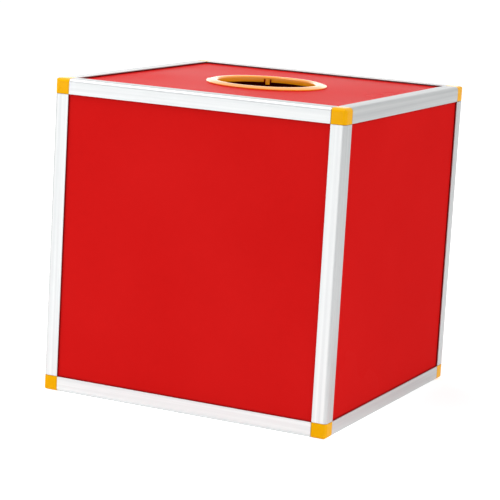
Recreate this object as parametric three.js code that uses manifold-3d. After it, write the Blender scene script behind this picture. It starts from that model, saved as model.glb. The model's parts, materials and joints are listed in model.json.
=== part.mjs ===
// Suggestion box: a cube of slotted aluminium edge rails, moulded corner blocks and red sheet panels.
// A ring snaps into the hand hole in the top, and the back has a hinged door with a cam lock.
// Millimetres, +Z up. The origin is the middle of the base, the front faces -Y and the right +X.

import * as THREE from 'three';
import { mergeVertices } from 'three/addons/utils/BufferGeometryUtils.js';
import loadManifold from 'manifold-3d';

const wasm = await loadManifold();
wasm.setup();

// Clearances
const FIT = 0.3; // pieces that slide, plug or turn in each other
const SEAT = 0.1; // flat faces that rest on each other
const JOIN = 0.5; // how far a feature reaches into the body that it is joined to

// Overall size, rail to rail
const BOX_WIDTH = 296;
const BOX_DEPTH = 296;
const BOX_HEIGHT = 300;

// Edge rail: a corner tube with an outer and an inner lip along each of its two faces
const RAIL_FACE = 14.5;
const RAIL_EDGE_RADIUS = 3.5;
const RAIL_TUBE = 8;
const RAIL_WALL = 1.2;
const RAIL_LIP = 0.9;
const INNER_LIP_REACH = 12.5;

// Sheet panels
const PANEL_THICKNESS = 3;
const PANEL_SLACK = 1; // between a panel and the outer lips, a dark line around each panel

// Corner block prongs
const PRONG_LENGTH = 14;
const PRONG_TIP_LENGTH = 2.5;
const PRONG_TIP_INSET = 0.8;

// Ring in the hand hole
const RING_BORE_RADIUS = 47.5;
const RING_SKIRT_WALL = 2;
const RING_FLANGE_RADIUS = 58.5;
const RING_FLANGE_HEIGHT = 2.5; // at the top of its dome
const RING_RIM_HEIGHT = 0.9; // straight outer side of the flange, below its dome
const RING_MOUTH_HEIGHT = 0.6; // straight side of the bore, below its rounded mouth
const RING_MOUTH_WIDTH = 4; // from the bore to the top of the dome
const RING_SKIRT_DEPTH = 3.4;
const RING_TABS = 4;
const RING_TAB_WIDTH = 4.5;
const RING_TAB_DEPTH = 5.8;
const RING_TAB_HOOK = 1.1; // how far a tab's hook reaches under the panel
const RING_SLIT = 1.5;
const RING_SLIT_CAP = 0.4; // skirt left between a slit and the flange
const RING_TAB_BEARING = 114; // degrees from +X to the first tab

// Door opening in the back panel, measured from the lips of the rails around it
const OPENING_SIDE_MARGIN = 44;
const OPENING_SILL = 30;
const OPENING_HEAD = 75;
const OPENING_RADIUS = 6;
const DOOR_GAP = 1;

// Strip inside the opening that the free edge of the door closes against
const STOP_WIDTH = 13;
const STOP_OVERLAP = 3;
const STOP_LENGTH = 90;
const STOP_THICKNESS = 3;

// Butt hinges
const HINGE_LENGTH = 30;
const HINGE_INSET = 32; // from the end of the door to the middle of a hinge
const LEAF_REACH = 12.5;
const LEAF_THICKNESS = 1;
const KNUCKLE_RADIUS = 2;
const KNUCKLE_MIDDLE = 10; // length of the door leaf's knuckle
const PIN_RADIUS = 1;
const PIN_HEAD_RADIUS = 1.6;
const PIN_HEAD_HEIGHT = 0.7;

// Rivets through the hinge leaves
const RIVET_RADIUS = 1.2;
const RIVET_HEAD_RADIUS = 2.2;
const RIVET_HEAD_HEIGHT = 0.9;
const RIVET_REACH = 8; // from the pin
const RIVET_SPACING = 17;

// Cam lock
const LOCK_INSET = 18; // from the free edge of the door
const LOCK_HEAD_RADIUS = 8;
const LOCK_HEAD_HEIGHT = 2.2;
const LOCK_SHANK_RADIUS = 6;
const LOCK_SHANK_FLATS = 10.4;
const PLUG_RADIUS = 3.8;
const PLUG_FACE_RADIUS = 4.8;
const PLUG_FACE_HEIGHT = 1.2;
const KEY_SLOT_WIDTH = 1.2;
const KEY_SLOT_LENGTH = 6;
const KEY_SLOT_DEPTH = 2;
const NUT_FLATS = 15;
const NUT_HEIGHT = 2.4;
const DRIVE_SIDE = 4.6;
const CAM_WIDTH = 10;
const CAM_TIP_RADIUS = 3;
const CAM_THICKNESS = 1.5;
const CAM_OVERLAP = 5; // past the edge of the opening, when it is locked
const CAM_CLEARANCE = 0.4;
const CAM_SCREW_RADIUS = 1.4;
const CAM_SCREW_LENGTH = 4;
const CAM_SCREW_HEAD_RADIUS = 3.2;
const CAM_SCREW_HEAD_HEIGHT = 1.5;

// Roundness of the curves
const RING_SEGMENTS = 72;
const RING_CURVE_STEPS = 6;
const ROUND_SEGMENTS = 24;
const HINGE_SEGMENTS = 16;
const RIVET_SEGMENTS = 12;
const CORNER_SEGMENTS = 4;

// Places that follow from those sizes
const SLOT = PANEL_SLACK + PANEL_THICKNESS + FIT;
const INNER_LIP_FROM = RAIL_LIP + SLOT;
const INNER_LIP_TO = INNER_LIP_FROM + RAIL_LIP;
const PANEL_RECESS = RAIL_LIP + PANEL_SLACK;
const PANEL_EDGE = RAIL_TUBE + FIT;
const CAVITY_RADIUS = Math.max(RAIL_EDGE_RADIUS - RAIL_WALL, FIT);
const RING_SKIRT_RADIUS = RING_BORE_RADIUS + RING_SKIRT_WALL;
const HAND_HOLE_RADIUS = RING_SKIRT_RADIUS + FIT;
const OPENING_WIDTH = BOX_WIDTH - 2 * (RAIL_FACE + OPENING_SIDE_MARGIN);
const OPENING_HEIGHT = BOX_HEIGHT - 2 * RAIL_FACE - OPENING_SILL - OPENING_HEAD;
const OPENING_MIDDLE = (OPENING_SILL - OPENING_HEAD) / 2;
const DOOR_WIDTH = OPENING_WIDTH - 2 * DOOR_GAP;
const DOOR_HEIGHT = OPENING_HEIGHT - 2 * DOOR_GAP;
const HINGE_AXIS = -(DOOR_WIDTH + DOOR_GAP) / 2;
const HINGE_OFFSET = DOOR_HEIGHT / 2 - HINGE_INSET;
const RIVET_HOLE_RADIUS = RIVET_RADIUS + FIT;
const LOCK_PLACE = DOOR_WIDTH / 2 - LOCK_INSET;
const LOCK_FRONT = SEAT + LOCK_HEAD_HEIGHT;
const PANEL_BACK = -PANEL_THICKNESS - SEAT; // where what lies behind a panel starts
const CAM_TOP = PANEL_BACK - Math.max(STOP_THICKNESS, NUT_HEIGHT) - CAM_CLEARANCE;
const CAM_BOTTOM = CAM_TOP - CAM_THICKNESS;
const CAM_REACH = LOCK_INSET + DOOR_GAP + CAM_OVERLAP;

// Finishes
const finish = (color, roughness, metalness) =>
  new THREE.MeshStandardMaterial({ color, roughness, metalness });
const ALUMINIUM = finish(0xdfe2e3, 0.38, 0.9);
const RED_SHEET = finish(0xd21c1b, 0.3, 0);
const ORANGE_PLASTIC = finish(0xf8ac0c, 0.35, 0);
const PLATED_STEEL = finish(0xc4c6c8, 0.3, 1);
const CHROME = finish(0xe4e6e8, 0.12, 1);

// Solids and how they are joined

// Turns X to Y, Y to Z and Z to X
const NEXT_AXIS = new THREE.Matrix4().set(0, 0, 1, 0, 1, 0, 0, 0, 0, 1, 0, 0, 0, 0, 0, 1);

function toSolid(geometry) {
  const bare = geometry.clone();
  bare.deleteAttribute('normal');
  bare.deleteAttribute('uv');
  const merged = mergeVertices(bare);
  return new wasm.Manifold(new wasm.Mesh({
    numProp: 3,
    vertProperties: new Float32Array(merged.attributes.position.array),
    triVerts: new Uint32Array(merged.index.array),
  }));
}

function toGeometry(solid) {
  const mesh = solid.getMesh();
  const geometry = new THREE.BufferGeometry();
  geometry.setAttribute('position', new THREE.BufferAttribute(mesh.vertProperties, mesh.numProp));
  geometry.setIndex(new THREE.BufferAttribute(mesh.triVerts, 1));
  geometry.computeVertexNormals();
  return geometry;
}

const joined = (geometries) => geometries.map(toSolid).reduce((a, b) => a.add(b));
const shared = (geometries) => geometries.map(toSolid).reduce((a, b) => a.intersect(b));
const cutBy = (solid, geometries) => geometries.map(toSolid).reduce((a, b) => a.subtract(b), solid);

// A box between two corners
function block([x0, y0, z0], [x1, y1, z1]) {
  const box = new THREE.BoxGeometry(x1 - x0, y1 - y0, z1 - z0);
  return box.translate((x0 + x1) / 2, (y0 + y1) / 2, (z0 + z1) / 2);
}

// An outline in XY, pushed from one height to another
function prism(shape, from, to) {
  const options = { depth: to - from, bevelEnabled: false, curveSegments: CORNER_SEGMENTS };
  return new THREE.ExtrudeGeometry(shape, options).translate(0, 0, from);
}

// A round bar along Z
function bar(radius, from, to, segments = ROUND_SEGMENTS) {
  const cylinder = new THREE.CylinderGeometry(radius, radius, to - from, segments);
  return cylinder.rotateX(Math.PI / 2).translate(0, 0, (from + to) / 2);
}

// A section of radius and height, turned about Z
function turned(section, segments) {
  return new THREE.LatheGeometry(section, segments).rotateX(Math.PI / 2);
}

// The same geometry along each of the three axes
function alongEachAxis(geometry) {
  const second = geometry.clone().applyMatrix4(NEXT_AXIS);
  return [geometry, second, second.clone().applyMatrix4(NEXT_AXIS)];
}

// Outlines

// A square from near to far, with its near corner rounded
function cornerSquare(near, far, radius) {
  const shape = new THREE.Shape();
  shape.moveTo(near + radius, near);
  shape.lineTo(far, near);
  shape.lineTo(far, far);
  shape.lineTo(near, far);
  shape.lineTo(near, near + radius);
  shape.absarc(near + radius, near + radius, radius, Math.PI, 1.5 * Math.PI);
  return shape;
}

function roundedRectangle(width, height, radius, middle = 0) {
  const x = width / 2 - radius;
  const y = height / 2 - radius;
  const shape = new THREE.Shape();
  shape.absarc(x, middle + y, radius, 0, Math.PI / 2);
  shape.absarc(-x, middle + y, radius, Math.PI / 2, Math.PI);
  shape.absarc(-x, middle - y, radius, Math.PI, 1.5 * Math.PI);
  shape.absarc(x, middle - y, radius, 1.5 * Math.PI, 2 * Math.PI);
  shape.closePath();
  return shape;
}

// A circle with two flat sides, which keeps a lock from turning in its hole
function flattedCircle(radius, flats, x = 0, y = 0) {
  const angle = Math.acos(Math.min(flats / 2 / radius, 1));
  const shape = new THREE.Shape();
  shape.absarc(x, y, radius, angle, Math.PI - angle);
  shape.absarc(x, y, radius, Math.PI + angle, 2 * Math.PI - angle);
  shape.closePath();
  return shape;
}

function circle(radius, x, y) {
  return new THREE.Path().absarc(x, y, radius, 0, 2 * Math.PI);
}

// Assembly

const box = new THREE.Group();
const centre = new THREE.Group();
centre.position.z = BOX_HEIGHT / 2;
box.add(centre);

function addPiece(parent, name, geometry, material) {
  const mesh = new THREE.Mesh(geometry, material);
  mesh.name = name;
  parent.add(mesh);
  return mesh;
}

const SIDES_X = { left: -1, right: 1 };
const SIDES_Y = { front: -1, back: 1 };
const SIDES_Z = { bottom: -1, top: 1 };

// The turn about Z that points a piece's own diagonal, midway between X and Y, from a corner to the middle
const inwardTurn = (signX, signY) => Math.atan2(-signY, -signX) - Math.PI / 4;

// Edge rails: the section's origin is the outer corner, and each face is a lip, a slot and an inner lip

function railSection() {
  const half = [
    [RAIL_FACE, 0],
    [RAIL_FACE, RAIL_LIP],
    [RAIL_TUBE, RAIL_LIP],
    [RAIL_TUBE, INNER_LIP_FROM],
    [INNER_LIP_REACH, INNER_LIP_FROM],
    [INNER_LIP_REACH, INNER_LIP_TO],
    [RAIL_TUBE, INNER_LIP_TO],
  ];
  const otherHalf = half.map(([u, v]) => [v, u]).reverse();
  const shape = new THREE.Shape();
  shape.moveTo(RAIL_EDGE_RADIUS, 0);
  [...half, [RAIL_TUBE, RAIL_TUBE], ...otherHalf].forEach(([u, v]) => shape.lineTo(u, v));
  shape.lineTo(0, RAIL_EDGE_RADIUS);
  shape.absarc(RAIL_EDGE_RADIUS, RAIL_EDGE_RADIUS, RAIL_EDGE_RADIUS, Math.PI, 1.5 * Math.PI);
  shape.holes.push(cornerSquare(RAIL_WALL, RAIL_TUBE - RAIL_WALL, CAVITY_RADIUS));
  return shape;
}

// Four parallel rails along the group's Z, at the corners of a width by height rectangle
function addRails(turns, length, width, height, sidesAcross, sidesUp, nameOf) {
  const group = new THREE.Group();
  for (let turn = 0; turn < turns; turn += 1) {
    group.applyMatrix4(NEXT_AXIS);
  }
  centre.add(group);
  const half = length / 2 - RAIL_FACE - FIT;
  const geometry = prism(railSection(), -half, half);
  for (const [across, signAcross] of Object.entries(sidesAcross)) {
    for (const [up, signUp] of Object.entries(sidesUp)) {
      const rail = addPiece(group, nameOf(across, up), geometry, ALUMINIUM);
      rail.position.set((signAcross * width) / 2, (signUp * height) / 2, 0);
      rail.rotation.z = inwardTurn(signAcross, signUp);
    }
  }
}

addRails(0, BOX_HEIGHT, BOX_WIDTH, BOX_DEPTH, SIDES_X, SIDES_Y, (x, y) => `rail_${y}_${x}`);
addRails(1, BOX_WIDTH, BOX_DEPTH, BOX_HEIGHT, SIDES_Y, SIDES_Z, (y, z) => `rail_${z}_${y}`);
addRails(2, BOX_DEPTH, BOX_HEIGHT, BOX_WIDTH, SIDES_Z, SIDES_X, (z, x) => `rail_${z}_${x}`);

// Corner blocks: one moulding for all eight corners, with a slot for each panel and a prong for each rail

function prong() {
  const near = RAIL_WALL + FIT;
  const far = RAIL_TUBE - RAIL_WALL - FIT;
  const section = cornerSquare(near, far, Math.max(CAVITY_RADIUS - FIT, FIT));
  const options = {
    depth: JOIN + PRONG_LENGTH - PRONG_TIP_LENGTH,
    bevelThickness: PRONG_TIP_LENGTH,
    bevelSize: PRONG_TIP_INSET,
    bevelOffset: -PRONG_TIP_INSET,
    bevelSegments: 1,
    curveSegments: CORNER_SEGMENTS,
  };
  return new THREE.ExtrudeGeometry(section, options).translate(0, 0, RAIL_FACE - JOIN);
}

function cornerBlock() {
  const hull = prism(cornerSquare(0, RAIL_FACE, RAIL_EDGE_RADIUS), 0, RAIL_FACE);
  const past = RAIL_FACE + JOIN;
  const panelSlot = block([RAIL_TUBE, RAIL_TUBE, RAIL_LIP], [past, past, INNER_LIP_FROM]);
  const relief = block([INNER_LIP_TO, INNER_LIP_TO, INNER_LIP_TO], [past, past, past]);
  const body = cutBy(shared(alongEachAxis(hull)), [...alongEachAxis(panelSlot), relief]);
  return toGeometry(body.add(joined(alongEachAxis(prong()))));
}

function addCornerBlocks() {
  const geometry = cornerBlock();
  for (const [x, signX] of Object.entries(SIDES_X)) {
    for (const [y, signY] of Object.entries(SIDES_Y)) {
      for (const [z, signZ] of Object.entries(SIDES_Z)) {
        const corner = addPiece(centre, `corner_${z}_${y}_${x}`, geometry, ORANGE_PLASTIC);
        corner.position.set(signX * BOX_WIDTH, signY * BOX_DEPTH, signZ * BOX_HEIGHT).divideScalar(2);
        const flip = signZ > 0 ? Math.PI : 0;
        corner.rotation.set(flip, 0, inwardTurn(signX, signY) + flip / 2, 'ZYX');
      }
    }
  }
}

addCornerBlocks();

// Panels: each face is a group at the panel's outer face, with X right and Y up as seen from outside

function addFace(tilt, turn, reach) {
  const face = new THREE.Group();
  face.rotation.set(tilt, 0, turn, 'ZYX');
  face.translateZ(reach / 2 - PANEL_RECESS);
  centre.add(face);
  return face;
}

const UPRIGHT = Math.PI / 2;
const faces = {
  front: addFace(UPRIGHT, 0, BOX_DEPTH),
  back: addFace(UPRIGHT, Math.PI, BOX_DEPTH),
  right: addFace(UPRIGHT, Math.PI / 2, BOX_WIDTH),
  left: addFace(UPRIGHT, -Math.PI / 2, BOX_WIDTH),
  top: addFace(0, 0, BOX_HEIGHT),
  bottom: addFace(Math.PI, 0, BOX_HEIGHT),
};

function sheet(width, height, holes = [], curveSegments = CORNER_SEGMENTS) {
  const x = width / 2 - PANEL_EDGE;
  const y = height / 2 - PANEL_EDGE;
  const shape = new THREE.Shape();
  shape.moveTo(-x, -y).lineTo(x, -y).lineTo(x, y).lineTo(-x, y).closePath();
  shape.holes.push(...holes);
  const options = { depth: PANEL_THICKNESS, bevelEnabled: false, curveSegments };
  return new THREE.ExtrudeGeometry(shape, options).translate(0, 0, -PANEL_THICKNESS);
}

// The middles of a leaf's two rivets, on the frame's side or the door's side of each hinge
function rivetPlaces(side) {
  const x = HINGE_AXIS + side * RIVET_REACH;
  return [-1, 1].flatMap((hinge) => [-1, 1].map((end) => (
    [x, OPENING_MIDDLE + hinge * HINGE_OFFSET + (end * RIVET_SPACING) / 2]
  )));
}

const FRAME_SIDE = -1;
const DOOR_SIDE = 1;
const rivetHoles = (side) => rivetPlaces(side).map(([x, y]) => circle(RIVET_HOLE_RADIUS, x, y));

function addPanels() {
  const handHole = circle(HAND_HOLE_RADIUS, 0, 0);
  const opening = roundedRectangle(OPENING_WIDTH, OPENING_HEIGHT, OPENING_RADIUS, OPENING_MIDDLE);
  const geometries = {
    front: sheet(BOX_WIDTH, BOX_HEIGHT),
    back: sheet(BOX_WIDTH, BOX_HEIGHT, [opening, ...rivetHoles(FRAME_SIDE)]),
    right: sheet(BOX_DEPTH, BOX_HEIGHT),
    left: sheet(BOX_DEPTH, BOX_HEIGHT),
    top: sheet(BOX_WIDTH, BOX_DEPTH, [handHole], RING_SEGMENTS / 2),
    bottom: sheet(BOX_WIDTH, BOX_DEPTH),
  };
  for (const [name, face] of Object.entries(faces)) {
    addPiece(face, `panel_${name}`, geometries[name], RED_SHEET);
  }
}

addPanels();

// Hand-hole ring: a domed flange on the panel, and a skirt through it with hooked tabs between slits

function ringSection() {
  const middle = (RING_BORE_RADIUS + RING_FLANGE_RADIUS) / 2;
  const section = new THREE.Path();
  section.moveTo(RING_BORE_RADIUS, -RING_SKIRT_DEPTH);
  section.lineTo(RING_SKIRT_RADIUS, -RING_SKIRT_DEPTH);
  section.lineTo(RING_SKIRT_RADIUS, 0);
  section.lineTo(RING_FLANGE_RADIUS, 0);
  section.lineTo(RING_FLANGE_RADIUS, RING_RIM_HEIGHT);
  const top = RING_BORE_RADIUS + RING_MOUTH_WIDTH;
  section.quadraticCurveTo(middle, RING_FLANGE_HEIGHT, top, RING_FLANGE_HEIGHT);
  section.quadraticCurveTo(RING_BORE_RADIUS, RING_FLANGE_HEIGHT, RING_BORE_RADIUS, RING_MOUTH_HEIGHT);
  section.closePath();
  return section.getPoints(RING_CURVE_STEPS);
}

// The skirt wall carried down below the panel, with a hook all round
function tabSection() {
  const hookRadius = HAND_HOLE_RADIUS + RING_TAB_HOOK;
  const hookTop = -SEAT - PANEL_THICKNESS - FIT;
  const corners = [
    [RING_BORE_RADIUS, -RING_TAB_DEPTH],
    [RING_SKIRT_RADIUS, -RING_TAB_DEPTH],
    [hookRadius, hookTop - RING_TAB_HOOK / 2],
    [hookRadius, hookTop],
    [RING_SKIRT_RADIUS, hookTop],
    [RING_SKIRT_RADIUS, JOIN],
    [RING_BORE_RADIUS, JOIN],
    [RING_BORE_RADIUS, -RING_TAB_DEPTH],
  ];
  return corners.map(([radius, height]) => new THREE.Vector2(radius, height));
}

// A radial bar of the given width at the place of each tab
function tabBars(width, top) {
  const reach = [RING_BORE_RADIUS - JOIN, RING_FLANGE_RADIUS];
  return Array.from({ length: RING_TABS }, (_, index) => {
    const bearing = RING_TAB_BEARING + (360 * index) / RING_TABS;
    const radial = block([reach[0], -width / 2, -RING_TAB_DEPTH - JOIN], [reach[1], width / 2, top]);
    return radial.rotateZ(THREE.MathUtils.degToRad(bearing));
  });
}

function addRing() {
  const plain = toSolid(turned(ringSection(), RING_SEGMENTS));
  const slitted = cutBy(plain, tabBars(RING_TAB_WIDTH + 2 * RING_SLIT, -RING_SLIT_CAP));
  const tabs = toSolid(turned(tabSection(), RING_SEGMENTS)).intersect(joined(tabBars(RING_TAB_WIDTH, JOIN)));
  const ring = addPiece(faces.top, 'hand_hole_ring', toGeometry(slitted.add(tabs)), ORANGE_PLASTIC);
  ring.position.z = SEAT;
}

addRing();

// Back door, inset in the back panel, with the stop strip behind its free edge

function addDoor() {
  const outline = roundedRectangle(DOOR_WIDTH, DOOR_HEIGHT, OPENING_RADIUS - DOOR_GAP, OPENING_MIDDLE);
  const lockHole = flattedCircle(
    LOCK_SHANK_RADIUS + FIT, LOCK_SHANK_FLATS + 2 * FIT, LOCK_PLACE, OPENING_MIDDLE,
  );
  outline.holes.push(lockHole, ...rivetHoles(DOOR_SIDE));
  addPiece(faces.back, 'back_door', prism(outline, -PANEL_THICKNESS, 0), RED_SHEET);
  const stopFrom = DOOR_WIDTH / 2 - STOP_OVERLAP;
  const strip = block(
    [stopFrom, OPENING_MIDDLE - STOP_LENGTH / 2, PANEL_BACK - STOP_THICKNESS],
    [stopFrom + STOP_WIDTH, OPENING_MIDDLE + STOP_LENGTH / 2, PANEL_BACK],
  );
  addPiece(faces.back, 'door_stop', strip, RED_SHEET);
}

addDoor();

// Butt hinges: the pin lies along Z here, and the leaves lie flat on the panel below it

function hingeLeaf(side, knuckles) {
  const under = -KNUCKLE_RADIUS;
  const over = under + LEAF_THICKNESS;
  const half = HINGE_LENGTH / 2;
  const from = KNUCKLE_RADIUS + FIT;
  const plate = block([from, under, -half], [LEAF_REACH, over, half]);
  const rolled = knuckles.flatMap(([low, high]) => [
    bar(KNUCKLE_RADIUS, low, high, HINGE_SEGMENTS),
    block([0, under, low], [from + JOIN, over, high]),
  ]);
  const rivetHole = (z) => bar(RIVET_HOLE_RADIUS, under - JOIN, over + JOIN, RIVET_SEGMENTS)
    .rotateX(-Math.PI / 2).translate(RIVET_REACH, 0, z);
  const holes = [-RIVET_SPACING / 2, RIVET_SPACING / 2].map(rivetHole);
  const pinBore = bar(PIN_RADIUS + FIT, -half - JOIN, half + JOIN, HINGE_SEGMENTS);
  const leaf = toGeometry(cutBy(joined([plate, ...rolled]), [pinBore, ...holes]));
  return side === DOOR_SIDE ? leaf : leaf.rotateY(Math.PI);
}

function hingePin() {
  const shaft = HINGE_LENGTH / 2 + SEAT;
  const end = shaft + PIN_HEAD_HEIGHT;
  const section = [
    [0, -end],
    [PIN_HEAD_RADIUS, -end],
    [PIN_HEAD_RADIUS, -shaft],
    [PIN_RADIUS, -shaft],
    [PIN_RADIUS, shaft],
    [PIN_HEAD_RADIUS, shaft],
    [PIN_HEAD_RADIUS, end],
    [0, end],
  ];
  return turned(section.map(([radius, height]) => new THREE.Vector2(radius, height)), HINGE_SEGMENTS);
}

function rivet() {
  const headUnder = 2 * SEAT + LEAF_THICKNESS;
  const tail = PANEL_BACK - RIVET_HEAD_HEIGHT;
  const section = new THREE.Path();
  section.moveTo(0, tail);
  section.lineTo(RIVET_HEAD_RADIUS, tail);
  section.lineTo(RIVET_HEAD_RADIUS, PANEL_BACK);
  section.lineTo(RIVET_RADIUS, PANEL_BACK);
  section.lineTo(RIVET_RADIUS, headUnder);
  section.lineTo(RIVET_HEAD_RADIUS, headUnder);
  section.quadraticCurveTo(
    RIVET_HEAD_RADIUS, headUnder + RIVET_HEAD_HEIGHT,
    0, headUnder + RIVET_HEAD_HEIGHT,
  );
  return turned(section.getPoints(CORNER_SEGMENTS / 2), RIVET_SEGMENTS);
}

function addHinges() {
  const half = HINGE_LENGTH / 2;
  const middle = KNUCKLE_MIDDLE / 2;
  const frameKnuckles = [[-half, -middle - FIT], [middle + FIT, half]];
  const pieces = {
    frame_leaf: hingeLeaf(FRAME_SIDE, frameKnuckles),
    door_leaf: hingeLeaf(DOOR_SIDE, [[-middle, middle]]),
    pin: hingePin(),
  };
  for (const [name, sign] of Object.entries({ lower: -1, upper: 1 })) {
    const hinge = new THREE.Group();
    hinge.position.set(HINGE_AXIS, OPENING_MIDDLE + sign * HINGE_OFFSET, SEAT + KNUCKLE_RADIUS);
    hinge.rotation.x = Math.PI / 2;
    faces.back.add(hinge);
    Object.entries(pieces).forEach(([piece, geometry]) => {
      addPiece(hinge, `hinge_${name}_${piece}`, geometry, PLATED_STEEL);
    });
  }
}

function addRivets() {
  const geometry = rivet();
  for (const [name, side] of Object.entries({ frame: FRAME_SIDE, door: DOOR_SIDE })) {
    rivetPlaces(side).forEach(([x, y], index) => {
      const piece = addPiece(faces.back, `rivet_${name}_${index + 1}`, geometry, ALUMINIUM);
      piece.position.set(x, y, 0);
    });
  }
}

addHinges();
addRivets();

// Cam lock: its axis is Z, and the cam hangs down, unlocked

function lockBarrel() {
  const chamfer = LOCK_HEAD_HEIGHT / 4;
  const head = [
    [0, SEAT],
    [LOCK_HEAD_RADIUS, SEAT],
    [LOCK_HEAD_RADIUS, LOCK_FRONT - chamfer],
    [LOCK_HEAD_RADIUS - chamfer, LOCK_FRONT],
    [0, LOCK_FRONT],
  ].map(([radius, height]) => new THREE.Vector2(radius, height));
  const shank = prism(flattedCircle(LOCK_SHANK_RADIUS, LOCK_SHANK_FLATS), CAM_TOP + FIT, SEAT + JOIN);
  const bore = bar(PLUG_RADIUS + FIT, CAM_TOP - JOIN, LOCK_FRONT + JOIN);
  const faceRecess = bar(PLUG_FACE_RADIUS + FIT, LOCK_FRONT - PLUG_FACE_HEIGHT - FIT, LOCK_FRONT + JOIN);
  return toGeometry(cutBy(joined([turned(head, ROUND_SEGMENTS), shank]), [bore, faceRecess]));
}

function lockPlug() {
  const faceBack = LOCK_FRONT - PLUG_FACE_HEIGHT;
  const drive = DRIVE_SIDE / 2;
  const core = joined([
    bar(PLUG_RADIUS, CAM_TOP + SEAT, faceBack + JOIN),
    bar(PLUG_FACE_RADIUS, faceBack, LOCK_FRONT),
    block([-drive, -drive, CAM_BOTTOM], [drive, drive, CAM_TOP + SEAT + JOIN]),
  ]);
  const keySlot = block(
    [-KEY_SLOT_WIDTH / 2, -KEY_SLOT_LENGTH / 2, LOCK_FRONT - KEY_SLOT_DEPTH],
    [KEY_SLOT_WIDTH / 2, KEY_SLOT_LENGTH / 2, LOCK_FRONT + JOIN],
  );
  const screwHole = bar(CAM_SCREW_RADIUS + FIT, CAM_BOTTOM - JOIN, CAM_BOTTOM + CAM_SCREW_LENGTH + FIT);
  return toGeometry(cutBy(core, [keySlot, screwHole]));
}

function lockNut() {
  const cornerRadius = NUT_FLATS / 2 / Math.cos(Math.PI / 6);
  const hexagon = new THREE.CylinderGeometry(cornerRadius, cornerRadius, NUT_HEIGHT, 6);
  const nut = hexagon.rotateX(Math.PI / 2).translate(0, 0, PANEL_BACK - NUT_HEIGHT / 2);
  const thread = bar(LOCK_SHANK_RADIUS + FIT, PANEL_BACK - NUT_HEIGHT - JOIN, PANEL_BACK + JOIN);
  return toGeometry(cutBy(toSolid(nut), [thread]));
}

function lockCam() {
  const half = CAM_WIDTH / 2;
  const tip = CAM_REACH - CAM_TIP_RADIUS;
  const outline = new THREE.Shape();
  outline.absarc(0, 0, half, 0, Math.PI);
  outline.absarc(CAM_TIP_RADIUS - half, -tip, CAM_TIP_RADIUS, Math.PI, 1.5 * Math.PI);
  outline.absarc(half - CAM_TIP_RADIUS, -tip, CAM_TIP_RADIUS, 1.5 * Math.PI, 2 * Math.PI);
  outline.closePath();
  const square = DRIVE_SIDE / 2 + SEAT;
  const hole = new THREE.Path();
  hole.moveTo(-square, -square).lineTo(square, -square).lineTo(square, square).lineTo(-square, square);
  hole.closePath();
  outline.holes.push(hole);
  return prism(outline, CAM_BOTTOM, CAM_TOP);
}

function camScrew() {
  const headTop = CAM_BOTTOM - SEAT;
  const section = new THREE.Path();
  section.moveTo(0, headTop - CAM_SCREW_HEAD_HEIGHT);
  section.quadraticCurveTo(
    CAM_SCREW_HEAD_RADIUS, headTop - CAM_SCREW_HEAD_HEIGHT,
    CAM_SCREW_HEAD_RADIUS, headTop,
  );
  section.lineTo(CAM_SCREW_RADIUS, headTop);
  section.lineTo(CAM_SCREW_RADIUS, CAM_BOTTOM + CAM_SCREW_LENGTH);
  section.lineTo(0, CAM_BOTTOM + CAM_SCREW_LENGTH);
  return turned(section.getPoints(CORNER_SEGMENTS / 2), ROUND_SEGMENTS);
}

function addLock() {
  const lock = new THREE.Group();
  lock.position.set(LOCK_PLACE, OPENING_MIDDLE, 0);
  faces.back.add(lock);
  addPiece(lock, 'lock_barrel', lockBarrel(), CHROME);
  addPiece(lock, 'lock_nut', lockNut(), PLATED_STEEL);
  addPiece(lock, 'lock_plug', lockPlug(), CHROME);
  addPiece(lock, 'lock_cam', lockCam(), PLATED_STEEL);
  addPiece(lock, 'lock_cam_screw', camScrew(), PLATED_STEEL);
}

addLock();

export default box;
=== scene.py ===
# Suggestion box in a white studio, with the camera at the photograph's viewing angle.
# Metres, in the model's own frame: +Z up, the front faces -Y and the right +X.

import json
import math
from collections import namedtuple

import bpy
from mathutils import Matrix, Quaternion, Vector


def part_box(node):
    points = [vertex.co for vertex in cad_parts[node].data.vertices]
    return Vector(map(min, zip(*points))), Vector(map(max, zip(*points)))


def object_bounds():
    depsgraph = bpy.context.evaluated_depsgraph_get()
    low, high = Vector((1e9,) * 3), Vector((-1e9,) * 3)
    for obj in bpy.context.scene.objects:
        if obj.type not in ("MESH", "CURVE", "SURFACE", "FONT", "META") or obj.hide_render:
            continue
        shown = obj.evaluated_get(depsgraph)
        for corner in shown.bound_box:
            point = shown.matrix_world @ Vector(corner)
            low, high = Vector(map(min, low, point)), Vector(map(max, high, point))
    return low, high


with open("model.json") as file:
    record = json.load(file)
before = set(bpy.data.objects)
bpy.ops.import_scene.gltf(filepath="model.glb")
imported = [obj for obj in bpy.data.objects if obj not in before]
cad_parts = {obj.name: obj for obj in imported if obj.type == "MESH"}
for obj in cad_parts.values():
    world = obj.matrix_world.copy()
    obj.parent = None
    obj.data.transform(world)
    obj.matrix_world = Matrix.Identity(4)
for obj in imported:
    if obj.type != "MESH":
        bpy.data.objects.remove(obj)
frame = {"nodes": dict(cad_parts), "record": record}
cad_low, cad_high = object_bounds()
MILLIMETRE = 0.001

# The cube of rails: its middle, its half sizes, and those of the openings between the rails' lips
RAIL_BOXES = [
    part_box(part["node"]) for part in frame["record"]["subparts"] if part["material_slot"] == "rails"
]
cube_low = Vector(min(low[axis] for low, high in RAIL_BOXES) for axis in range(3))
cube_high = Vector(max(high[axis] for low, high in RAIL_BOXES) for axis in range(3))
RAIL_FACE = min(min(high - low) for low, high in RAIL_BOXES)
CUBE_MIDDLE = (cube_low + cube_high) / 2
CUBE_HALF = (cube_high - cube_low) / 2
OPENING_HALF = CUBE_HALF - Vector((RAIL_FACE, RAIL_FACE, RAIL_FACE))

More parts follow.
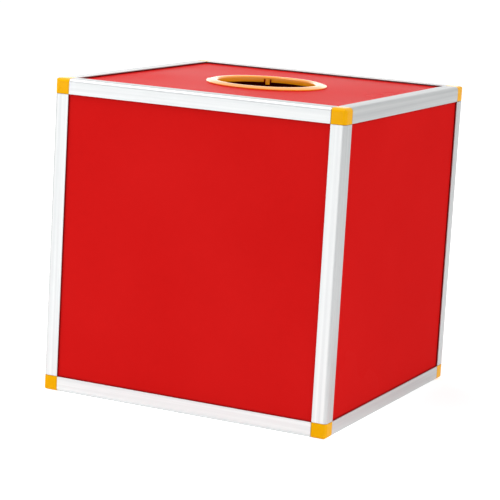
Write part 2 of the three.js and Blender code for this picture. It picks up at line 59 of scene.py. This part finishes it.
# The key slot of the lock's plug: how far under the plug's face its painted shade is full, in
# millimetres
SLOT_DEPTH = 0.4
SLOT_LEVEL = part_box("lock_plug")[1].y - SLOT_DEPTH * MILLIMETRE

# Camera, fitted to the edges of the rails: angles in degrees, lens and sensor in millimetres
CAMERA_AIM = Vector((-0.0048, -0.0054, 0.1345))
CAMERA_DISTANCE = 2.029
CAMERA_AZIMUTH = 25.295
CAMERA_ELEVATION = 10.396
CAMERA_ROLL = 3.318
CAMERA_LENS = 149.07
SENSOR = 36.0

# Floor: its size and shade, and the white that it shows by itself far off and, as a painted pool of
# light that the rails reflect, on a patch in front
FLOOR_SIZE = 60.0
FLOOR_DROP = 0.2 * MILLIMETRE
FLOOR_WHITE = 0.86
GLOW_CENTRE = (-0.12, -0.36, 0.0)
GLOW_NEAR = 0.9
GLOW_FAR = 0.48
GLOW_NEAR_REACH = 0.24
GLOW_FAR_REACH = 0.56

# Surround: its light from all around, and what one side adds to it
AMBIENT = 0.38
SIDE_AZIMUTH = 90.0
SIDE_LIGHT = 1.38

# Each lamp: azimuth and elevation from the middle of the box, distance, width, height and watts
LAMPS = {
    "key_strip": (-24.0, 2.0, 2.2, 2.4, 0.24, 8.1),
    "key_high": (-60.0, 60.0, 2.0, 1.4, 1.4, 25.0),
    "back_left": (236.0, 14.0, 2.4, 1.6, 1.0, 11.0),
    "back_low": (205.0, 12.0, 2.4, 2.0, 0.6, 4.0),
}

# Rounded edges: their width on large and on other pieces, and the least angle that counts as an edge
LARGE_SLOTS = ("rails", "corners", "panels", "ring")
EDGE_WIDTH = 0.3 * MILLIMETRE
SMALL_EDGE_WIDTH = 0.12 * MILLIMETRE
EDGE_SEGMENTS = 2
SMOOTH_ANGLE = math.radians(30)

# Points this close are one, and triangles within this angle of each other are one flat face
WELD_DISTANCE = 0.001 * MILLIMETRE
FLAT_ANGLE = math.radians(0.5)

# Scales of the surface patterns, in cycles per metre
DRIFT_SCALE = 9.0
GRAIN_SCALE = 1400.0
STREAK_ALONG, STREAK_ACROSS = 3.0, 330.0
DRAWN_ALONG, DRAWN_ACROSS = 14.0, 2600.0

# Noise: its detail, and the range that most of its values lie in
NOISE_DETAIL = 2.0
NOISE_LOW, NOISE_HIGH = 0.3, 0.7


def linear(red, green, blue):
    """An sRGB colour of 0 to 255 as a shader colour."""
    def channel(value):
        value /= 255
        return value / 12.92 if value <= 0.04045 else ((value + 0.055) / 1.055) ** 2.4
    return (channel(red), channel(green), channel(blue), 1.0)


def direction(azimuth, elevation):
    """The way from the object to an azimuth, 0 in front and 90 to the right, and an elevation."""
    turn, rise = math.radians(azimuth), math.radians(elevation)
    level = math.cos(rise)
    return Vector((math.sin(turn) * level, -math.cos(turn) * level, math.sin(rise)))


# Node trees


def feed(socket, value):
    """Links a socket to the one that feeds it, or sets it to a constant."""
    if isinstance(value, bpy.types.NodeSocket):
        socket.id_data.links.new(value, socket)
    else:
        socket.default_value = value


def feed_inputs(node, **inputs):
    """Feeds a node's inputs by name, with _ for each space."""
    for name, value in inputs.items():
        feed(node.inputs[name.replace("_", " ")], value)


def add_node(tree, kind, settings=None, **inputs):
    made = tree.nodes.new(kind)
    for name, value in (settings or {}).items():
        setattr(made, name, value)
    feed_inputs(made, **inputs)
    return made


def calculate(tree, kind, operation, values):
    made = add_node(tree, kind, {"operation": operation})
    for socket, value in zip(made.inputs, values):
        feed(socket, value)
    return made.outputs


def number(tree, operation, *values):
    return calculate(tree, "ShaderNodeMath", operation, values)["Value"]


def vector(tree, operation, *values):
    return calculate(tree, "ShaderNodeVectorMath", operation, values)["Vector"]


def measure(tree, operation, *values):
    """A number that is worked out from vectors, such as a distance."""
    return calculate(tree, "ShaderNodeVectorMath", operation, values)["Value"]


def ranged(tree, value, start, end, at_start, at_end, course="LINEAR"):
    """A number that goes from one value to another while the given one goes from start to end."""
    return add_node(
        tree, "ShaderNodeMapRange", {"interpolation_type": course}, Value=value,
        From_Min=start, From_Max=end, To_Min=at_start, To_Max=at_end,
    ).outputs["Result"]


def noise(tree, place, scales):
    stretched = add_node(tree, "ShaderNodeMapping", Vector=place, Scale=scales).outputs["Vector"]
    return add_node(
        tree, "ShaderNodeTexNoise", Vector=stretched, Scale=1.0, Detail=NOISE_DETAIL
    ).outputs["Fac"]


def spread(tree, pattern, low, high):
    return ranged(tree, pattern, NOISE_LOW, NOISE_HIGH, low, high)


def tint(tree, pattern, dark, pale):
    ramp = add_node(tree, "ShaderNodeValToRGB", Fac=pattern)
    ends = zip(ramp.color_ramp.elements, (NOISE_LOW, NOISE_HIGH), (dark, pale))
    for end, position, colour in ends:
        end.position = position
        end.color = colour
    return ramp.outputs["Color"]


# Scales of a pattern along each axis

AXES = "xyz"


def even(scale):
    return (scale, scale, scale)


def drawn(long_axis, along, across):
    """The pattern of a drawn bar or an extrusion: long along one axis and fine across it."""
    return tuple(along if axis == long_axis else across for axis in AXES)


# Each pattern is a pair: the slow drift of tint and roughness, and the fine grain
SMOOTH = (even(DRIFT_SCALE), even(GRAIN_SCALE))
STREAKED = {
    axis: (drawn(axis, STREAK_ALONG, STREAK_ACROSS), drawn(axis, DRAWN_ALONG, DRAWN_ACROSS))
    for axis in AXES
}


# Borders: painted shade on the panels beside the lips, rubbed edges on rails and blocks, painted
# shade in the key slot


def gaps(tree, place, half):
    """The distances of a place from the planes that lie half a size from the middle of the cube."""
    away = vector(tree, "ABSOLUTE", vector(tree, "SUBTRACT", place, CUBE_MIDDLE))
    gap = vector(tree, "ABSOLUTE", vector(tree, "SUBTRACT", away, half))
    return add_node(tree, "ShaderNodeSeparateXYZ", Vector=gap).outputs[:]


def lip_gap(tree, place):
    """The distance from the nearest side of an opening between the lips."""
    x, y, z = gaps(tree, place, OPENING_HALF)
    return number(tree, "MINIMUM", number(tree, "MINIMUM", x, y), z)


def edge_gap(tree, place):
    """The middle one of the distances from the cube's faces, which is that from its nearest edge."""
    x, y, z = gaps(tree, place, CUBE_HALF)
    larger = number(tree, "MINIMUM", number(tree, "MAXIMUM", x, y), z)
    return number(tree, "MAXIMUM", number(tree, "MINIMUM", x, y), larger)


def slot_gap(tree, place):
    """The distance out from the level at which the key slot's painted shade is full."""
    y = add_node(tree, "ShaderNodeSeparateXYZ", Vector=place).outputs["Y"]
    return number(tree, "SUBTRACT", y, SLOT_LEVEL)


# A border: the distance from it, its reach in millimetres, patches per metre, strength and colour
Border = namedtuple("Border", "gap reach patches strength colour")

# Painted shade on the panels in the recess where they meet the lips
LIP_SHADE = Border(
    lip_gap, reach=1.6, patches=40.0, strength=(0.4, 0.5), colour=linear(96, 6, 8)
)
RUBBED_METAL = Border(
    edge_gap, reach=3.0, patches=60.0, strength=(0.0, 0.4), colour=linear(202, 203, 203)
)
RUBBED_PLASTIC = Border(
    edge_gap, reach=3.0, patches=90.0, strength=(0.0, 0.3), colour=linear(252, 196, 70)
)
# Painted shade in the lock's key slot, full below its level
PAINTED_SLOT_SHADE = Border(
    slot_gap, reach=SLOT_DEPTH, patches=200.0, strength=(0.9, 1.0), colour=linear(38, 38, 40)
)


def bordered(tree, place, colour, border):
    """A colour that turns patchily into another one at its border."""
    nearness = ranged(
        tree, border.gap(tree, place), 0.0, border.reach * MILLIMETRE, 1.0, 0.0, "SMOOTHSTEP"
    )
    strength = spread(tree, noise(tree, place, even(border.patches)), *border.strength)
    return add_node(
        tree, "ShaderNodeMixRGB", Fac=number(tree, "MULTIPLY", nearness, strength),
        Color1=colour, Color2=border.colour,
    ).outputs["Color"]


# Surfaces: tint and roughness drift slowly over each one, and a fine grain is pressed into it


def surface(name, dark, pale, roughness, pattern, grain_depth, border=None, **constants):
    """A material. The grain's depth is in millimetres, and the constants are inputs of its shader."""
    material = bpy.data.materials.new(name)
    material.use_nodes = True
    tree = material.node_tree
    place = add_node(tree, "ShaderNodeTexCoord").outputs["Object"]
    drift, grain = (noise(tree, place, scales) for scales in pattern)
    colour = tint(tree, drift, dark, pale)
    if border:
        colour = bordered(tree, place, colour, border)
    bump = add_node(
        tree, "ShaderNodeBump", Height=grain, Strength=1.0, Distance=grain_depth * MILLIMETRE
    )
    feed_inputs(
        tree.nodes["Principled BSDF"], Base_Color=colour, Roughness=spread(tree, drift, *roughness),
        Normal=bump.outputs["Normal"], **constants,
    )
    return material


def aluminium(axis):
    return surface(
        f"satin aluminium {axis}", linear(178, 180, 181), linear(196, 198, 198),
        roughness=(0.42, 0.5), pattern=STREAKED[axis], grain_depth=0.004, border=RUBBED_METAL,
        Metallic=1.0,
    )


# Finishes: of the rails by long axis, of the other pieces by slot, and of the lock's plug by its node
RAIL_METALS = {axis: aluminium(axis) for axis in AXES}
FINISHES = {
    "corners": surface(
        "moulded corner plastic", linear(235, 168, 0), linear(240, 175, 0),
        roughness=(0.16, 0.24), pattern=SMOOTH, grain_depth=0.004, border=RUBBED_PLASTIC,
        Specular_IOR_Level=0.04,
    ),
    "panels": surface(
        "red sheet", linear(202, 23, 22), linear(206, 26, 25),
        roughness=(0.2, 0.28), pattern=SMOOTH, grain_depth=0.002, border=LIP_SHADE,
        Specular_IOR_Level=0.0006,
    ),
    "ring": surface(
        "glossy ring plastic", linear(248, 148, 4), linear(253, 156, 7),
        roughness=(0.22, 0.3), pattern=SMOOTH, grain_depth=0.003,
        Specular_IOR_Level=0.5, Coat_Weight=0.3, Coat_Roughness=0.08,
    ),
    "hinges": surface(
        "plated steel", linear(160, 162, 165), linear(178, 180, 182),
        roughness=(0.24, 0.34), pattern=STREAKED["z"], grain_depth=0.003, Metallic=1.0,
    ),
    "rivets": surface(
        "rivet aluminium", linear(172, 174, 176), linear(190, 191, 192),
        roughness=(0.3, 0.42), pattern=SMOOTH, grain_depth=0.004, Metallic=1.0,
    ),
    "lock": surface(
        "bright plating", linear(186, 188, 191), linear(198, 200, 203),
        roughness=(0.1, 0.18), pattern=SMOOTH, grain_depth=0.001, Metallic=1.0,
    ),
    "lock_plug": surface(
        "bright plating with a slot", linear(180, 182, 185), linear(192, 194, 197),
        roughness=(0.12, 0.2), pattern=SMOOTH, grain_depth=0.001, border=PAINTED_SLOT_SHADE, Metallic=1.0,
    ),
    "lock_fittings": surface(
        "zinc plated steel", linear(178, 181, 182), linear(198, 199, 196),
        roughness=(0.28, 0.38), pattern=SMOOTH, grain_depth=0.003, Metallic=1.0,
    ),
}


# Dressing of the solids


def smoothing_group():
    """Welds the triangles and shades gentle angles smooth, so that only real edges stay sharp."""
    group = bpy.data.node_groups.new("weld and smooth", "GeometryNodeTree")
    for way in ("INPUT", "OUTPUT"):
        group.interface.new_socket("Geometry", in_out=way, socket_type="NodeSocketGeometry")
    start = add_node(group, "NodeGroupInput").outputs["Geometry"]
    welded = add_node(
        group, "GeometryNodeMergeByDistance", Geometry=start, Distance=WELD_DISTANCE
    ).outputs["Geometry"]
    bare = add_node(
        group, "GeometryNodeRemoveAttribute", Geometry=welded, Name="custom_normal"
    ).outputs["Geometry"]
    smooth = add_node(
        group, "GeometryNodeSetShadeSmooth", {"domain": "FACE"}, Geometry=bare, Shade_Smooth=True
    ).outputs["Geometry"]
    angle = add_node(group, "GeometryNodeInputMeshEdgeAngle").outputs["Unsigned Angle"]
    gentle = add_node(
        group, "FunctionNodeCompare", {"data_type": "FLOAT", "operation": "LESS_THAN"},
        A=angle, B=SMOOTH_ANGLE,
    ).outputs["Result"]
    creased = add_node(
        group, "GeometryNodeSetShadeSmooth", {"domain": "EDGE"},
        Geometry=smooth, Shade_Smooth=gentle,
    ).outputs["Geometry"]
    add_node(group, "NodeGroupOutput", Geometry=creased)
    return group


def round_edges(piece, group, width):
    piece.modifiers.new("weld and smooth", "NODES").node_group = group
    flat = piece.modifiers.new("whole flat faces", "DECIMATE")
    flat.decimate_type = "DISSOLVE"
    flat.angle_limit = FLAT_ANGLE
    bevel = piece.modifiers.new("rounded edges", "BEVEL")
    bevel.width = width
    bevel.segments = EDGE_SEGMENTS
    bevel.limit_method = "ANGLE"
    bevel.angle_limit = SMOOTH_ANGLE
    bevel.harden_normals = True


def longest(node):
    low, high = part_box(node)
    size = high - low
    return max(AXES, key=lambda axis: getattr(size, axis))


def finish_of(node, slot):
    if slot == "rails":
        return RAIL_METALS[longest(node)]
    return FINISHES[node if node in FINISHES else slot]


def dress():
    group = smoothing_group()
    for part in frame["record"]["subparts"]:
        node, slot = part["node"], part["material_slot"]
        piece = frame["nodes"][node]
        round_edges(piece, group, EDGE_WIDTH if slot in LARGE_SLOTS else SMALL_EDGE_WIDTH)
        piece.data.materials.clear()
        piece.data.materials.append(finish_of(node, slot))


# Studio: a pale floor, a surround that is brighter on the right, and four large lamps


def seen(tree):
    """1 for what the camera, a reflection or a see-through piece shows, 0 for light on a surface."""
    path = add_node(tree, "ShaderNodeLightPath")
    camera, glossy, through = (
        path.outputs[f"Is {kind} Ray"] for kind in ("Camera", "Glossy", "Transmission")
    )
    return number(tree, "MAXIMUM", number(tree, "MAXIMUM", camera, glossy), through)


def floor_glow(tree):
    """The white that the floor shows by itself, strongest on a patch in front of the box, a painted
    pool of light that the rails reflect.
    """
    place = add_node(tree, "ShaderNodeTexCoord").outputs["Object"]
    away = measure(tree, "DISTANCE", place, GLOW_CENTRE)
    return ranged(
        tree, away, GLOW_NEAR_REACH, GLOW_FAR_REACH, GLOW_NEAR, GLOW_FAR, "SMOOTHSTEP"
    )


def floor_material():
    material = bpy.data.materials.new("white floor")
    material.use_nodes = True
    tree = material.node_tree
    tree.nodes.clear()
    white = (*even(FLOOR_WHITE), 1.0)
    matt = add_node(tree, "ShaderNodeBsdfDiffuse", Color=white)
    strength = number(tree, "MULTIPLY", seen(tree), floor_glow(tree))
    glow = add_node(tree, "ShaderNodeEmission", Strength=strength)
    both = add_node(tree, "ShaderNodeAddShader")
    for socket, part in zip(both.inputs, (matt, glow)):
        feed(socket, part.outputs[0])
    add_node(tree, "ShaderNodeOutputMaterial", Surface=both.outputs[0])
    return material


def add_floor():
    half = FLOOR_SIZE / 2
    mesh = bpy.data.meshes.new("floor")
    corners = [(-half, -half, 0), (half, -half, 0), (half, half, 0), (-half, half, 0)]
    mesh.from_pydata(corners, [], [(0, 1, 2, 3)])
    mesh.materials.append(floor_material())
    floor = bpy.data.objects.new("floor", mesh)
    floor.location.z = cad_low.z - FLOOR_DROP
    bpy.context.scene.collection.objects.link(floor)


def soft_light(tree):
    """The light of the surround on a surface, which grows towards one side."""
    place = add_node(tree, "ShaderNodeTexCoord").outputs["Generated"]
    facing = measure(tree, "DOT_PRODUCT", place, direction(SIDE_AZIMUTH, 0.0))
    return number(
        tree, "MULTIPLY_ADD", number(tree, "MAXIMUM", facing, 0.0), SIDE_LIGHT, AMBIENT
    )


def add_surround():
    world = bpy.data.worlds.new("white surround")
    world.use_nodes = True
    tree = world.node_tree
    tree.nodes.clear()
    strength = ranged(tree, seen(tree), 0.0, 1.0, soft_light(tree), 1.0)
    sky = add_node(tree, "ShaderNodeBackground", Color=(1, 1, 1, 1), Strength=strength)
    add_node(tree, "ShaderNodeOutputWorld", Surface=sky.outputs[0])
    bpy.context.scene.world = world


def add_lamps():
    middle = (cad_low + cad_high) / 2
    for name, (azimuth, elevation, distance, width, height, watts) in LAMPS.items():
        light = bpy.data.lights.new(name, "AREA")
        light.shape = "RECTANGLE"
        light.size = width
        light.size_y = height
        light.energy = watts
        lamp = bpy.data.objects.new(name, light)
        towards = direction(azimuth, elevation)
        lamp.location = middle + towards * distance
        lamp.rotation_euler = (-towards).to_track_quat("-Z", "Y").to_euler()
        bpy.context.scene.collection.objects.link(lamp)


def add_camera():
    data = bpy.data.cameras.new("camera")
    data.lens = CAMERA_LENS
    data.sensor_width = SENSOR
    camera = bpy.data.objects.new("camera", data)
    back = direction(CAMERA_AZIMUTH, CAMERA_ELEVATION)
    camera.location = CAMERA_AIM + back * CAMERA_DISTANCE
    roll = Quaternion((0, 0, 1), math.radians(CAMERA_ROLL))
    camera.rotation_euler = ((-back).to_track_quat("-Z", "Y") @ roll).to_euler()
    bpy.context.scene.collection.objects.link(camera)
    bpy.context.scene.camera = camera


dress()
add_floor()
add_surround()
add_lamps()
add_camera()
bpy.context.scene.view_settings.view_transform = "Standard"
